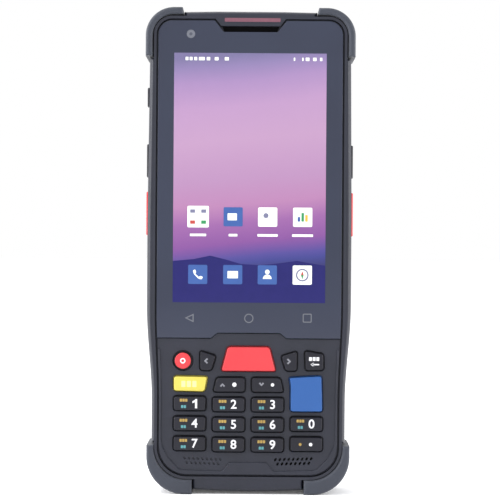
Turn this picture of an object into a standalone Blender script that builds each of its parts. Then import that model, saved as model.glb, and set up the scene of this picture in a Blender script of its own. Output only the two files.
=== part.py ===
"""Rugged handheld data terminal with a numeric keypad, as separate sub-parts.

It stands upright on its two lower bumpers, with the screen towards -Y, +X to
the user's right and +Z up. Lengths in this file are millimetres, and add_part
turns each finished mesh into metres.
"""
import math

import bmesh
import bpy
from mathutils import Matrix, Vector

METRES = 0.001
GAP = 0.3                    # clearance between neighbouring pieces

# Depth levels, front to back
Y_FRONT = -12.5              # face of the glass and of the keypad fascia
Y_LEDGE = -10.8              # floor of the pocket that glass and fascia sit in
Y_LEDGE_BACK = -9.3
Y_SPLIT = -3.5               # parting line of the two housings
Y_HUMP = 13.5                # back of the scan head
PANEL_THICK = 1.4

# Heights and half widths of the body
TOP_Z = 167.0
CHIN_Z = 0.5
WAIST_HALF = 33.65           # beside the keypad
SCREEN_HALF = 35.5           # beside the screen
SHOULDER_HALF = 34.97        # just under the top bumpers
WALL = 2.2
SEAL_OUTSIDE = 1.4           # the gasket lies between these insets from the outer edge
SEAL_INSIDE = 2.0
RABBET = 1.1                 # step inside the rear housing that the gasket lies in

# Groove between the front panels and the rim
GROOVE_HALF_LOW = 31.1
GROOVE_HALF_HIGH = 32.1
GROOVE_TOP = 163.5
GROOVE_BOTTOM = 6.4
SEAM_Z = 53.75               # between glass and fascia, at the sides
SEAM_RISE = 1.8              # the seam steps up over the scan key

# Corner bumpers: centres and radii of their arcs in X and Z
TOP_CENTRE = (26.37, 157.95)
TOP_OUTER = 9.8
TOP_INNER = 7.7
LOW_CENTRE = (22.05, 13.0)
LOW_OUTER = 13.0
LOW_INNER_CENTRE = (21.4, 16.1)
LOW_INNER = 11.4

# Keypad
KEY_GAP = 0.45
KEY_FLANGE = 0.4
KEY_CORNER = 1.1
KEY_FACE = -13.4
COLUMNS = (-20.15, -6.75, 6.65, 20.05)
COLUMN_WIDTH = 11.7
ROWS = (31.0, 24.1, 17.2)
ROW_HEIGHT = 5.55
OUTER_RISE = 0.3             # the outer columns sit a little higher

# Battery bay and its cover
BAY_HALF = 24.3
BAY_LOW = 31.0
BAY_HIGH = 101.0
BAY_FLOOR = -1.0
COVER_HALF = 27.0
COVER_LOW = 20.0
COVER_HIGH = 118.0
COVER_FACE = 8.4
COVER_SEAT = 5.9

SCREWS = {
    "housing_screw_top_left": (-30.3, 127.0),
    "housing_screw_top_right": (30.3, 127.0),
    "housing_screw_bottom_left": (-27.0, 10.5),
    "housing_screw_bottom_right": (27.0, 10.5),
}

# Side keys: side, height of the centre, length, how far the cap reaches out
SIDE_KEYS = {
    "left_scan_trigger": (-1, 96.7, 15.2, 35.9),
    "right_scan_trigger": (1, 96.7, 15.2, 35.9),
    "left_volume_key": (-1, 115.0, 11.6, 35.8),
    "right_function_key": (1, 115.0, 11.6, 35.8),
    "left_talk_key": (-1, 137.0, 6.8, 35.7),
}
SIDE_KEY_Y = -6.4            # middle of each side key, front to back
SIDE_KEY_WIDTH = 3.6

for old in list(bpy.data.objects):
    bpy.data.objects.remove(old)

parts = bpy.data.collections.new("handheld_terminal")
cutters = bpy.data.collections.new("cutters")
bpy.context.scene.collection.children.link(parts)
bpy.context.scene.collection.children.link(cutters)


# ---------------------------------------------------------------- outlines

def arc(centre, radius, start, end, steps=5):
    """Points of an arc in X and Z, with its angles in degrees from +X towards +Z."""
    points = []
    for step in range(steps + 1):
        angle = math.radians(start + (end - start) * step / steps)
        points.append((centre[0] + radius * math.cos(angle), centre[1] + radius * math.sin(angle)))
    return points


def mirrored(half):
    """A whole anticlockwise outline from its right half, listed bottom to top."""
    return half + [(-x, z) for x, z in reversed(half)]


def inset(outline, distance):
    """An anticlockwise outline moved inwards by a distance, or outwards if it is negative."""
    corners = [Vector(point) for point in outline]
    moved = []
    for index, here in enumerate(corners):
        along_in = (here - corners[index - 1]).normalized()
        along_out = (corners[(index + 1) % len(corners)] - here).normalized()
        inward_in = Vector((-along_in.y, along_in.x))
        inward_out = Vector((-along_out.y, along_out.x))
        reach = distance / (1 + inward_in.dot(inward_out))
        moved.append(tuple(here + (inward_in + inward_out) * reach))
    return moved


def rounded(corners, radius, steps=2):
    """An outline with each corner replaced by a short curve."""
    corners = [Vector(corner) for corner in corners]
    points = []
    for index, here in enumerate(corners):
        back = corners[index - 1] - here
        ahead = corners[(index + 1) % len(corners)] - here
        reach = min(radius, 0.45 * back.length, 0.45 * ahead.length)
        start = here + back.normalized() * reach
        end = here + ahead.normalized() * reach
        for step in range(steps + 1):
            t = step / steps
            points.append(tuple(start * (1 - t) ** 2 + here * 2 * t * (1 - t) + end * t ** 2))
    return points


def swell(z, low, high):
    """Half width that grows smoothly from the keypad up to the screen."""
    t = min(max((z - 32.0) / 32.0, 0.0), 1.0)
    return low + (high - low) * t * t * (3 - 2 * t)


def body_half(z):
    """Half width of the body, without its bumpers."""
    if z > 96.0:
        return SCREEN_HALF + (SHOULDER_HALF - SCREEN_HALF) * (z - 96.0) / 54.6
    return swell(z, WAIST_HALF, SCREEN_HALF)


def groove_half(z):
    return swell(z, GROOVE_HALF_LOW, GROOVE_HALF_HIGH)


def body_outline():
    """Outer edge of both housings, stepped in where the bumpers sit."""
    step_slope = 0.15
    half = [(x, CHIN_Z + 0.6 * (x / 19.6) ** 2) for x in (6.5, 13.0, 19.6)]
    foot = arc(LOW_INNER_CENTRE, LOW_INNER - GAP, -90, 0)
    half += [(19.6, foot[0][1] + step_slope)] + foot + [(foot[-1][0], 17.3)]
    half += [(body_half(z), z) for z in (17.3 + step_slope, 32.0, 40.0, 48.0, 56.0, 64.0, 96.0, 150.6)]
    shoulder = arc(TOP_CENTRE, TOP_INNER - GAP, 0, 90, 4)
    half += [(shoulder[0][0], 150.6 + step_slope)] + shoulder
    half += [(23.1, shoulder[-1][1] - step_slope), (23.1, TOP_Z - 0.3), (12.0, TOP_Z - 0.08)]
    return mirrored(half)


def pocket_outline(clearance):
    """Edge of the front pocket: the groove line moved outwards, with the earpiece tab."""
    side = GROOVE_HALF_LOW + clearance
    top = GROOVE_TOP + clearance
    corner = 5.2 + clearance
    half = arc((GROOVE_HALF_LOW - 10.0, GROOVE_BOTTOM + 10.0), 10.0 + clearance, -90, 0)
    half += [(side, 32.0)]
    half += [(groove_half(z) + clearance, z) for z in (40.0, 48.0, 56.0, 64.0)]
    half += arc((GROOVE_HALF_HIGH - 5.2, GROOVE_TOP - 5.2), corner, 0, 90, 4)
    half += [(12.1, top), (10.2, 161.35)]
    return mirrored(half)


def glass_outline():
    half = [(10.8, SEAM_Z + SEAM_RISE + GAP / 2), (13.0, SEAM_Z + GAP / 2)]
    half += [(groove_half(z) - GAP, z) for z in (SEAM_Z + GAP / 2, 58.0, 64.0)]
    half += arc((GROOVE_HALF_HIGH - 5.2, GROOVE_TOP - 5.2), 5.2 - GAP, 0, 90, 4)
    half += [(12.4, GROOVE_TOP - GAP), (9.3, 159.3)]
    return mirrored(half)


def fascia_outline():
    half = arc((GROOVE_HALF_LOW - 10.0, GROOVE_BOTTOM + 10.0), 10.0 - GAP, -90, 0)
    half += [(groove_half(z) - GAP, z) for z in (32.0, 40.0, 48.0, SEAM_Z - GAP / 2)]
    half += [(13.1, SEAM_Z - GAP / 2), (10.9, SEAM_Z + SEAM_RISE - GAP / 2)]
    return mirrored(half)


def number_key(column, row):
    """Hole outline of a key in the number block, anticlockwise from its lower left."""
    x = COLUMNS[column]
    z = ROWS[row] + (OUTER_RISE if column in (0, 3) else 0.0)
    half_width = COLUMN_WIDTH / 2
    half_height = ROW_HEIGHT / 2
    return [(x - half_width, z - half_height), (x + half_width, z - half_height),
            (x + half_width, z + half_height), (x - half_width, z + half_height)]


def flipped(outline):
    return [(-x, z) for x, z in reversed(outline)]


NEXT_KEY = [(12.5, 42.3), (17.0, 42.4), (17.0, 49.9), (10.8, 48.0)]
DOWN_KEY = [(0.9, 35.0), (12.5, 35.0), (11.2, 40.65), (0.8, 40.65)]
KEY_HOLES = {
    "power_key": arc((-22.6, 46.0), 3.1, 0, 337.5, 15),
    "left_key": flipped(NEXT_KEY),
    "scan_key": [(-9.8, 42.2), (9.8, 42.2), (7.45, 51.2), (-7.45, 51.2)],
    "right_key": NEXT_KEY,
    "delete_key": [(19.3, 42.5), (26.2, 42.7), (26.1, 49.0), (23.0, 49.3), (21.2, 49.8), (19.0, 49.8)],
    "shift_key": [(-26.0, 35.3), (-14.8, 35.1), (-13.7, 40.85), (-26.0, 41.0)],
    "up_key": flipped(DOWN_KEY),
    "down_key": DOWN_KEY,
    "enter_key": [(14.2, 28.4), (25.9, 28.4), (25.5, 41.35), (13.5, 40.65), (14.2, 38.2)],
    "key_1": number_key(0, 0),
    "key_2": number_key(1, 0),
    "key_3": number_key(2, 0),
    "key_4": number_key(0, 1),
    "key_5": number_key(1, 1),
    "key_6": number_key(2, 1),
    "key_0": number_key(3, 1),
    "key_7": number_key(0, 2),
    "key_8": number_key(1, 2),
    "key_9": number_key(2, 2),
    "point_key": number_key(3, 2),
}
KEY_COLOURS = {
    "power_key": (0.80, 0.08, 0.10),
    "scan_key": (0.85, 0.07, 0.07),
    "shift_key": (0.90, 0.80, 0.12),
    "enter_key": (0.03, 0.13, 0.50),
}
BLACK_KEY = (0.02, 0.02, 0.03)


def key_hole(name):
    """Hole outline of a front key with its corners rounded."""
    if name == "power_key":
        return KEY_HOLES[name]
    return rounded(KEY_HOLES[name], KEY_CORNER)


# ------------------------------------------------------------------ meshes

def plate(outline, y_front, y_back):
    """A flat outline, drawn in X and Z, that fills the depth between two Y levels."""
    curve = bpy.data.curves.new("outline", "CURVE")
    curve.dimensions = "2D"
    curve.fill_mode = "BOTH"
    curve.extrude = (y_back - y_front) / 2
    spline = curve.splines.new("POLY")
    spline.points.add(len(outline) - 1)
    for point, (x, z) in zip(spline.points, outline):
        point.co = (x, z, 0.0, 1.0)
    spline.use_cyclic_u = True
    holder = bpy.data.objects.new("outline", curve)
    cutters.objects.link(holder)
    evaluated = holder.evaluated_get(bpy.context.evaluated_depsgraph_get())
    mesh = bpy.data.meshes.new_from_object(evaluated)
    bm = bmesh.new()
    bm.from_mesh(mesh)
    bpy.data.objects.remove(holder)
    bpy.data.meshes.remove(mesh)
    bmesh.ops.remove_doubles(bm, verts=bm.verts, dist=0.001)
    bmesh.ops.dissolve_limit(bm, angle_limit=0.01, verts=[], edges=bm.edges)
    bmesh.ops.rotate(bm, cent=(0, 0, 0), matrix=Matrix.Rotation(math.pi / 2, 3, "X"), verts=bm.verts)
    bmesh.ops.translate(bm, vec=(0, (y_front + y_back) / 2, 0), verts=bm.verts)
    bmesh.ops.recalc_face_normals(bm, faces=bm.faces)
    return bm


def taper(bm, facing, steps):
    """Narrow a plate towards one cap. Each step is (how far inwards, how far along Y)."""
    cap = [face for face in bm.faces if face.normal.y * facing > 0.99]
    for inwards, along in steps:
        bmesh.ops.inset_region(bm, faces=cap, thickness=inwards, depth=along, use_even_offset=True)


def box(x_range, y_range, z_range):
    bm = bmesh.new()
    ranges = (x_range, y_range, z_range)
    size = [high - low for low, high in ranges]
    centre = [(low + high) / 2 for low, high in ranges]
    bmesh.ops.create_cube(bm, size=1.0)
    bmesh.ops.scale(bm, vec=size, verts=bm.verts)
    bmesh.ops.translate(bm, vec=centre, verts=bm.verts)
    return bm


def rod(x, z, radius, y_front, y_back, sides=12):
    """A round bar along Y."""
    bm = bmesh.new()
    bmesh.ops.create_cone(bm, cap_ends=True, segments=sides, radius1=radius, radius2=radius,
                          depth=y_back - y_front)
    bmesh.ops.rotate(bm, cent=(0, 0, 0), matrix=Matrix.Rotation(math.pi / 2, 3, "X"), verts=bm.verts)
    bmesh.ops.translate(bm, vec=(x, (y_front + y_back) / 2, z), verts=bm.verts)
    return bm


def to_object(name, bm, collection, origin=(0.0, 0.0, 0.0)):
    bmesh.ops.translate(bm, vec=[-value for value in origin], verts=bm.verts)
    bmesh.ops.triangulate(bm, faces=bm.faces)
    bmesh.ops.scale(bm, vec=(METRES, METRES, METRES), verts=bm.verts)
    mesh = bpy.data.meshes.new(name)
    bm.to_mesh(mesh)
    bm.free()
    item = bpy.data.objects.new(name, mesh)
    item.location = [value * METRES for value in origin]
    collection.objects.link(item)
    return item


def add_part(name, bm, colour, roughness=0.5, metallic=0.0, origin=(0.0, 0.0, 0.0)):
    """A finished sub-part with its own material. A moving one has its origin on its joint's axis."""
    item = to_object(name, bm, parts, origin)
    material = bpy.data.materials.new(name)
    material.use_nodes = True
    shader = material.node_tree.nodes["Principled BSDF"]
    shader.inputs["Base Color"].default_value = (*colour, 1.0)
    shader.inputs["Roughness"].default_value = roughness
    shader.inputs["Metallic"].default_value = metallic
    item.data.materials.append(material)
    return item


def boolean(item, operation, bm):
    """Cut a shape from a sub-part, or join it on."""
    tool = to_object(item.name + "_tool", bm, cutters)
    tool.hide_render = True
    tool.display_type = "WIRE"
    modifier = item.modifiers.new(operation.lower(), "BOOLEAN")
    modifier.operation = operation
    modifier.object = tool


def cut(item, bm):
    boolean(item, "DIFFERENCE", bm)


def join(item, bm):
    boolean(item, "UNION", bm)


def sideways(bm, facing):
    """Turn a shape drawn towards -Y so that it faces +X or -X."""
    turn = Matrix.Rotation(facing * math.pi / 2, 3, "Z")
    bmesh.ops.rotate(bm, cent=(0, 0, 0), matrix=turn, verts=bm.verts)
    return bm


def button(hole, flange_back, flange_front, face):
    """A key: a flange that stays behind its hole and a cap that stands out of it."""
    bm = plate(inset(hole, -KEY_FLANGE), flange_front, flange_back)
    shoulder = KEY_FLANGE + KEY_GAP
    taper(bm, -1, [(shoulder, 0.0), (0.0, flange_front - face - 0.25), (0.3, 0.25)])
    return bm


# ---------------------------------------------------------------- housings

HOUSING_COLOUR = (0.055, 0.058, 0.075)
RUBBER_COLOUR = (0.04, 0.045, 0.055)
BOARD_COLOUR = (0.02, 0.16, 0.08)
STEEL_COLOUR = (0.55, 0.56, 0.58)


def side_hole(length):
    """Hole outline of a side key, its width along X and its length along Z."""
    wide = SIDE_KEY_WIDTH / 2 + KEY_GAP
    tall = length / 2 + KEY_GAP
    return rounded([(-wide, -tall), (wide, -tall), (wide, tall), (-wide, tall)], KEY_CORNER)


def build_front_housing():
    """The rim around the glass and the fascia, with the side walls behind it."""
    shell = plate(body_outline(), -6.5, Y_SPLIT - GAP / 2)
    taper(shell, -1, [(0.3, 2.0), (0.35, 2.0), (0.4, 1.2), (0.55, 0.7)])
    housing = add_part("front_housing", shell, HOUSING_COLOUR, 0.6)
    join(housing, plate(pocket_outline(GAP + 0.95), Y_FRONT, Y_LEDGE_BACK + 1.0))
    cut(housing, plate(pocket_outline(GAP), Y_FRONT - 1.0, Y_LEDGE))
    cut(housing, plate(inset(body_outline(), WALL), Y_LEDGE_BACK, Y_SPLIT + 1.0))
    window = arc((GROOVE_HALF_LOW - 10.0, GROOVE_BOTTOM + 10.0), 7.4, -90, 0)
    window += [(groove_half(z) - 2.6, z) for z in (32.0, 40.0, 48.0, 56.0, 64.0, 158.8)]
    cut(housing, plate(mirrored(window), Y_LEDGE - 1.0, Y_LEDGE_BACK + 1.0))
    cut(housing, box((-23.9, -17.3), (Y_LEDGE - 1.0, Y_LEDGE_BACK + 1.0), (155.0, 161.8)))
    cut(housing, box((-8.6, 8.6), (Y_LEDGE - 1.0, Y_LEDGE_BACK + 1.0), (159.7, 161.0)))
    for x, z in SCREWS.values():
        join(housing, rod(x, z, 3.1, Y_LEDGE_BACK - 0.5, Y_SPLIT - 0.35))
        cut(housing, rod(x, z, 1.3, -8.3, Y_SPLIT + 1.0))
    for side, z, length, reach in SIDE_KEYS.values():
        slot = sideways(plate(side_hole(length), -40.0, -31.5), side)
        bmesh.ops.translate(slot, vec=(0, SIDE_KEY_Y, z), verts=slot.verts)
        cut(housing, slot)


def build_keypad_fascia():
    fascia = add_part("keypad_fascia", plate(fascia_outline(), Y_FRONT, Y_FRONT + PANEL_THICK),
                      HOUSING_COLOUR, 0.62)
    for name in KEY_HOLES:
        cut(fascia, plate(key_hole(name), Y_FRONT - 1.0, Y_FRONT + PANEL_THICK + 1.0))
    for row, count in enumerate((9, 8)):
        for index in range(count):
            x = 9.5 + 0.75 * row + 1.54 * index
            z = 12.0 - 1.5 * row + 0.05 * index
            cut(fascia, rod(x, z, 0.45, Y_FRONT - 1.0, Y_FRONT + PANEL_THICK + 1.0, 6))


HUMP = [(4.0, 119.0), (7.0, 119.0), (Y_HUMP, 130.5), (Y_HUMP, 162.9), (6.0, 166.0), (4.0, 166.0)]
HUMP_HOLLOW = [(3.0, 122.5), (6.2, 122.5), (11.3, 131.5), (11.3, 161.0), (3.0, 161.0)]
WINDOW_CENTRE = (0.0, 9.9, 164.35)
WINDOW_TILT = math.atan2(166.0 - 162.9, Y_HUMP - 6.0)
CAMERA = (-9.0, 140.5)
FLASH = (0.5, 140.5)


def hump_block(profile, half_width, edge_steps):
    """A profile drawn in Y and Z, run across X, with its ends rounded over."""
    bm = plate(profile, -half_width, half_width)
    for facing in (-1, 1):
        taper(bm, facing, edge_steps)
    return sideways(bm, 1)


def window_box(half_width, half_depth, low, high):
    """A box on the sloped top of the scan head, low to high along the slope's normal."""
    bm = box((-half_width, half_width), (-half_depth, half_depth), (low, high))
    tilt = Matrix.Rotation(-WINDOW_TILT, 3, "X")
    bmesh.ops.rotate(bm, cent=(0, 0, 0), matrix=tilt, verts=bm.verts)
    bmesh.ops.translate(bm, vec=WINDOW_CENTRE, verts=bm.verts)
    return bm


def build_rear_housing():
    """The back shell: scan head above, battery bay below."""
    shell = plate(body_outline(), Y_SPLIT + GAP / 2, 2.5)
    taper(shell, 1, [(0.3, 0.0), (0.7, 2.5), (1.2, 1.3), (1.4, 0.7)])
    housing = add_part("rear_housing", shell, HOUSING_COLOUR, 0.6)
    join(housing, hump_block(HUMP, 21.0, [(0.4, 0.8), (0.9, 0.6)]))
    cut(housing, plate(inset(body_outline(), WALL), Y_SPLIT - 1.0, 4.5))
    cut(housing, hump_block(HUMP_HOLLOW, 20.0, []))
    join(housing, box((-BAY_HALF - 1.5, BAY_HALF + 1.5), (BAY_FLOOR - 1.2, 5.0),
                      (BAY_LOW - 1.5, BAY_HIGH + 1.5)))
    for x, z in SCREWS.values():
        join(housing, rod(x, z, 3.1, Y_SPLIT + GAP / 2 + 0.1, 4.8))
    cut(housing, plate(inset(body_outline(), RABBET), Y_SPLIT - 1.0, -2.4))
    cut(housing, box((-BAY_HALF, BAY_HALF), (BAY_FLOOR, 9.0), (BAY_LOW, BAY_HIGH)))
    cut(housing, box((-COVER_HALF, COVER_HALF), (COVER_SEAT, 9.0), (COVER_LOW, COVER_HIGH)))
    cut(housing, box((-5.3, 5.3), (COVER_SEAT + GAP, 9.0), (18.3, COVER_LOW + 1.0)))
    cut(housing, box((-6.3, 6.3), (-4.0, 0.0), (95.0, 99.6)))
    for x, z in SCREWS.values():
        cut(housing, rod(x, z, 2.2, 2.6, 9.0))
        cut(housing, rod(x, z, 1.3, -5.0, 4.0))
    cut(housing, window_box(14.3, 3.1, -1.5, 2.0))
    cut(housing, window_box(11.5, 2.2, -6.0, 2.0))
    for (x, z), recess, aperture in ((CAMERA, 4.3, 2.8), (FLASH, 2.3, 1.2)):
        cut(housing, rod(x, z, recess, 12.1, 15.0, 16))
        cut(housing, rod(x, z, aperture, 10.0, 13.0))
    cut(housing, box((-4.9, 4.9), (-1.5, 2.6), (-1.0, 5.0)))
    cut(housing, box((9.2, 16.3), (-1.3, 2.7), (-1.0, 5.0)))


build_front_housing()
build_keypad_fascia()
build_rear_housing()

seal = add_part("housing_seal", plate(inset(body_outline(), SEAL_OUTSIDE), Y_SPLIT + GAP / 2, -2.7),
                (0.35, 0.02, 0.02), 0.8)
cut(seal, plate(inset(body_outline(), SEAL_INSIDE), Y_SPLIT - 1.0, 0.0))

# ------------------------------------------------------- glass and windows

add_part("display_glass", plate(glass_outline(), Y_FRONT, Y_FRONT + PANEL_THICK),
         (0.075, 0.08, 0.11), 0.12)
add_part("scan_window", window_box(14.0, 2.8, -1.2, -0.3), (0.10, 0.005, 0.01), 0.08)
add_part("camera_lens", rod(*CAMERA, 4.0, 12.4, 13.3, 16), (0.02, 0.02, 0.03), 0.05)
add_part("flash_lens", rod(*FLASH, 2.0, 12.4, 13.3), (0.85, 0.80, 0.62), 0.2)

# ------------------------------------------------------------ soft bumpers


def bumper(outline):
    """A corner bumper: a crescent that runs the whole depth, rounded front and back."""
    bm = plate(outline, -4.5, 5.6)
    taper(bm, -1, [(0.12, 3.0), (0.15, 3.2), (0.2, 1.7), (0.3, 1.0)])
    taper(bm, 1, [(0.2, 0.8), (0.35, 0.6)])
    return bm


top_bumper = [(23.4, TOP_CENTRE[1] + TOP_INNER)]
top_bumper += arc(TOP_CENTRE, TOP_INNER, 90, 0)
top_bumper += [(TOP_CENTRE[0] + TOP_INNER, 151.1), (TOP_CENTRE[0] + TOP_OUTER, 150.9)]
top_bumper += arc(TOP_CENTRE, TOP_OUTER, 0, 90, 7)
top_bumper += [(23.6, TOP_CENTRE[1] + TOP_OUTER)]
low_bumper = [(20.0, 0.0)]
low_bumper += arc(LOW_CENTRE, LOW_OUTER, -90, 0, 7)
low_bumper += [(LOW_CENTRE[0] + LOW_OUTER, 16.8), (LOW_INNER_CENTRE[0] + LOW_INNER, 17.0)]
low_bumper += arc(LOW_INNER_CENTRE, LOW_INNER, 0, -90)
low_bumper += [(20.0, LOW_INNER_CENTRE[1] - LOW_INNER)]
top_bumper.reverse()
BUMPERS = {
    "bumper_top_right": top_bumper,
    "bumper_top_left": flipped(top_bumper),
    "bumper_bottom_right": low_bumper,
    "bumper_bottom_left": flipped(low_bumper),
}
for name, outline in BUMPERS.items():
    add_part(name, bumper(outline), RUBBER_COLOUR, 0.75)

# -------------------------------------------------------------------- keys

for name in KEY_HOLES:
    hole = key_hole(name)
    middle = (sum(x for x, z in hole) / len(hole), -11.0, sum(z for x, z in hole) / len(hole))
    add_part(name, button(hole, -10.0, -10.8, KEY_FACE), KEY_COLOURS.get(name, BLACK_KEY), 0.45,
             origin=middle)

for name, (side, z, length, reach) in SIDE_KEYS.items():
    key = sideways(button(side_hole(length), -31.9, -32.6, -reach), side)
    bmesh.ops.translate(key, vec=(0, SIDE_KEY_Y, z), verts=key.verts)
    colour = (0.80, 0.05, 0.05) if "trigger" in name else BLACK_KEY
    add_part(name, key, colour, 0.45, origin=(side * 34.0, SIDE_KEY_Y, z))

# ---------------------------------------------- battery, cover and latch

HINGE = (0.0, COVER_FACE, COVER_HIGH - GAP)
LATCH = (0.0, 7.2, 27.5)


def build_battery_cover():
    half = COVER_HALF - GAP
    low = COVER_LOW + GAP
    high = COVER_HIGH - GAP
    corners = [(-half, low), (half, low), (half, high), (-half, high)]
    bm = plate(corners, COVER_SEAT + GAP, 7.4)
    taper(bm, 1, [(0.35, 0.6), (0.7, 0.4)])
    cover = add_part("battery_cover", bm, HOUSING_COLOUR, 0.6, origin=HINGE)
    cut(cover, box((-5.3, 5.3), (5.0, 7.5), (19.0, 36.3)))
    cut(cover, box((-4.3, 4.3), (5.0, 9.0), (24.7, 33.3)))
    return cover


def build_cover_latch(cover):
    latch = add_part("cover_latch", box((-5.0, 5.0), (6.5, 7.2), (18.6, 33.0)), RUBBER_COLOUR, 0.5,
                     origin=LATCH)
    join(latch, box((-4.0, 4.0), (6.9, 8.9), (25.0, 30.0)))
    latch.parent = cover
    latch.location = [(LATCH[axis] - HINGE[axis]) * METRES for axis in range(3)]


build_cover_latch(build_battery_cover())
add_part("battery_pack", box((-24.0, 24.0), (BAY_FLOOR + GAP, 5.6), (BAY_LOW + GAP, BAY_HIGH - GAP)),
         (0.03, 0.03, 0.035), 0.4)
add_part("battery_contacts", box((-6.0, 6.0), (-4.9, BAY_FLOOR), (95.3, 99.3)), (0.02, 0.02, 0.02), 0.5)

# ------------------------------------------------------------------ screws

for name, (x, z) in SCREWS.items():
    screw = add_part(name, rod(x, z, 1.9, 2.9, 4.4), STEEL_COLOUR, 0.35, 1.0)
    join(screw, rod(x, z, 1.0, -7.5, 3.5))

# --------------------------------------------------------------- internals

add_part("display_panel", box((-26.9, 26.9), (-10.8, -8.8), (62.5, 154.5)), (0.02, 0.02, 0.04), 0.2)
add_part("chassis_plate", box((-27.0, 27.0), (-8.4, -7.4), (58.0, 154.5)), (0.62, 0.63, 0.65), 0.4, 0.9)
add_part("keypad_mat", box((-27.0, 27.0), (-9.0, -8.1), (14.2, 52.6)), (0.30, 0.32, 0.36), 0.7)
add_part("keypad_board", box((-27.0, 27.0), (-7.8, -6.8), (14.2, 53.0)), BOARD_COLOUR, 0.5)
main_board = add_part("main_board", box((-26.9, 26.9), (-6.2, -5.2), (14.2, 153.0)), BOARD_COLOUR, 0.5)
join(main_board, box((-24.0, -4.0), (-5.7, -3.6), (60.0, 90.0)))
join(main_board, box((2.0, 24.0), (-5.7, -3.6), (60.0, 84.0)))
join(main_board, box((-10.0, 14.0), (-5.7, -3.6), (128.0, 144.0)))
add_part("earpiece", box((-7.5, 7.5), (-9.0, -6.5), (156.5, 162.5)), (0.5, 0.5, 0.52), 0.4, 0.8)
add_part("front_camera", box((-23.6, -17.6), (-10.7, -6.7), (155.4, 161.4)), (0.02, 0.02, 0.02), 0.3)
add_part("loudspeaker", box((6.5, 23.3), (-9.0, -6.6), (7.8, 13.2)), (0.03, 0.03, 0.03), 0.6)
add_part("vibration_motor", rod(14.0, 112.0, 4.0, -4.9, -1.9, 16), STEEL_COLOUR, 0.3, 1.0)
add_part("card_holder", box((-24.0, -9.0), (-4.9, -3.5), (106.0, 121.0)), STEEL_COLOUR, 0.35, 1.0)
add_part("scan_engine", box((-11.0, 11.0), (0.5, 10.5), (147.5, 160.2)), (0.06, 0.06, 0.07), 0.5)
add_part("rear_camera", box((-13.5, -4.5), (4.8, 11.0), (136.0, 145.0)), (0.02, 0.02, 0.02), 0.4)
usb_board = add_part("usb_board", box((-8.5, 8.5), (-1.9, -0.9), (3.2, 16.0)), BOARD_COLOUR, 0.5)
join(usb_board, box((-4.5, 4.5), (-1.2, 2.2), (0.9, 8.3)))
cut(usb_board, box((-4.1, 4.1), (-0.8, 1.8), (0.0, 7.3)))
contacts = add_part("cradle_contacts", box((9.5, 16.0), (-1.0, 2.4), (1.3, 5.0)), (0.02, 0.02, 0.02), 0.5)
for index in range(4):
    pin = rod(0.0, 0.0, 0.5, 0.95, 2.0, 8)
    bmesh.ops.rotate(pin, cent=(0, 0, 0), matrix=Matrix.Rotation(math.pi / 2, 3, "X"), verts=pin.verts)
    bmesh.ops.translate(pin, vec=(10.5 + 1.5 * index, 0.7, 0), verts=pin.verts)
    join(contacts, pin)
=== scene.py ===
"""Looks of a rugged handheld data terminal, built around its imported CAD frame.

The frame is in metres. The shapes here are drawn in millimetres, as the makers'
drawings are, and each finished piece is scaled to metres once, in make_piece.
"""
import math

import bmesh
import bpy
from mathutils import Matrix, Vector


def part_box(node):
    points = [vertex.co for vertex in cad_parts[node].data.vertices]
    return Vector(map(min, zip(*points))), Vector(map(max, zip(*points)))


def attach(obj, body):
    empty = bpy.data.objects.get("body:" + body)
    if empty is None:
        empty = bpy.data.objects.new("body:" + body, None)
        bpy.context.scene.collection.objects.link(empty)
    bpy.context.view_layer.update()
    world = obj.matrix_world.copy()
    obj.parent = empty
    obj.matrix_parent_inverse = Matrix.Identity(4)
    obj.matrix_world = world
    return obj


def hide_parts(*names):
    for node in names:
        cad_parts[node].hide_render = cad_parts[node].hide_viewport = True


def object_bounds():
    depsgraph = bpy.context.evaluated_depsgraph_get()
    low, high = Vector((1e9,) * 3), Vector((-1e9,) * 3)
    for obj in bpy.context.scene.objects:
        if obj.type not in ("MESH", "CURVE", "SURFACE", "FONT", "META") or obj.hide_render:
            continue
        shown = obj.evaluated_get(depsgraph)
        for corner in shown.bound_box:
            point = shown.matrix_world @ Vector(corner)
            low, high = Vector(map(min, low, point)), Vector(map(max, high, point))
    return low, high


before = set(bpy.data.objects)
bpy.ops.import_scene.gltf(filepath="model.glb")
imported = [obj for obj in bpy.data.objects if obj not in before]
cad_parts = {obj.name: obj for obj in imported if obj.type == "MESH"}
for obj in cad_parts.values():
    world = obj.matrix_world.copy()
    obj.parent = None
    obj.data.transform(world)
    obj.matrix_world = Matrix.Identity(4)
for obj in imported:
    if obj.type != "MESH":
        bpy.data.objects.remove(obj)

cad_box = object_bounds()

# ------------------------------------------------------------------ studio
# A plain pale floor under a pale sky, one soft light above, one at each side and one
# behind, and a camera square to the screen at half a metre, rolled by a hair.

MM = 0.001
CAMERA_DISTANCE = 500.0 * MM
VIEW_WIDTH = 172.15 * MM
CAMERA_SIDE = 0.24 * MM
CAMERA_LIFT = 0.35 * MM
CAMERA_ROLL = math.radians(0.4)
SENSOR = 36.0
PALE = "FFFFFF"
FLOOR_RADIUS, FLOOR_PATCH = 12.0, 1 / 240


def srgb(code):
    """An sRGB hex colour as the linear RGBA that a shader takes."""
    channels = [int(code[i:i + 2], 16) / 255 for i in (0, 2, 4)]
    linear = [c / 12.92 if c <= 0.04045 else ((c + 0.055) / 1.055) ** 2.4 for c in channels]
    return (*linear, 1.0)


def add_node(material, kind, settings=None, links=None):
    """A shader node with its settings, and the sockets that feed it."""
    node = material.node_tree.nodes.new(kind)
    for name, value in (settings or {}).items():
        if isinstance(name, str) and hasattr(node, name):
            setattr(node, name, value)
        else:
            node.inputs[name].default_value = value
    for name, socket in (links or {}).items():
        material.node_tree.links.new(socket, node.inputs[name])
    return node


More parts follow.
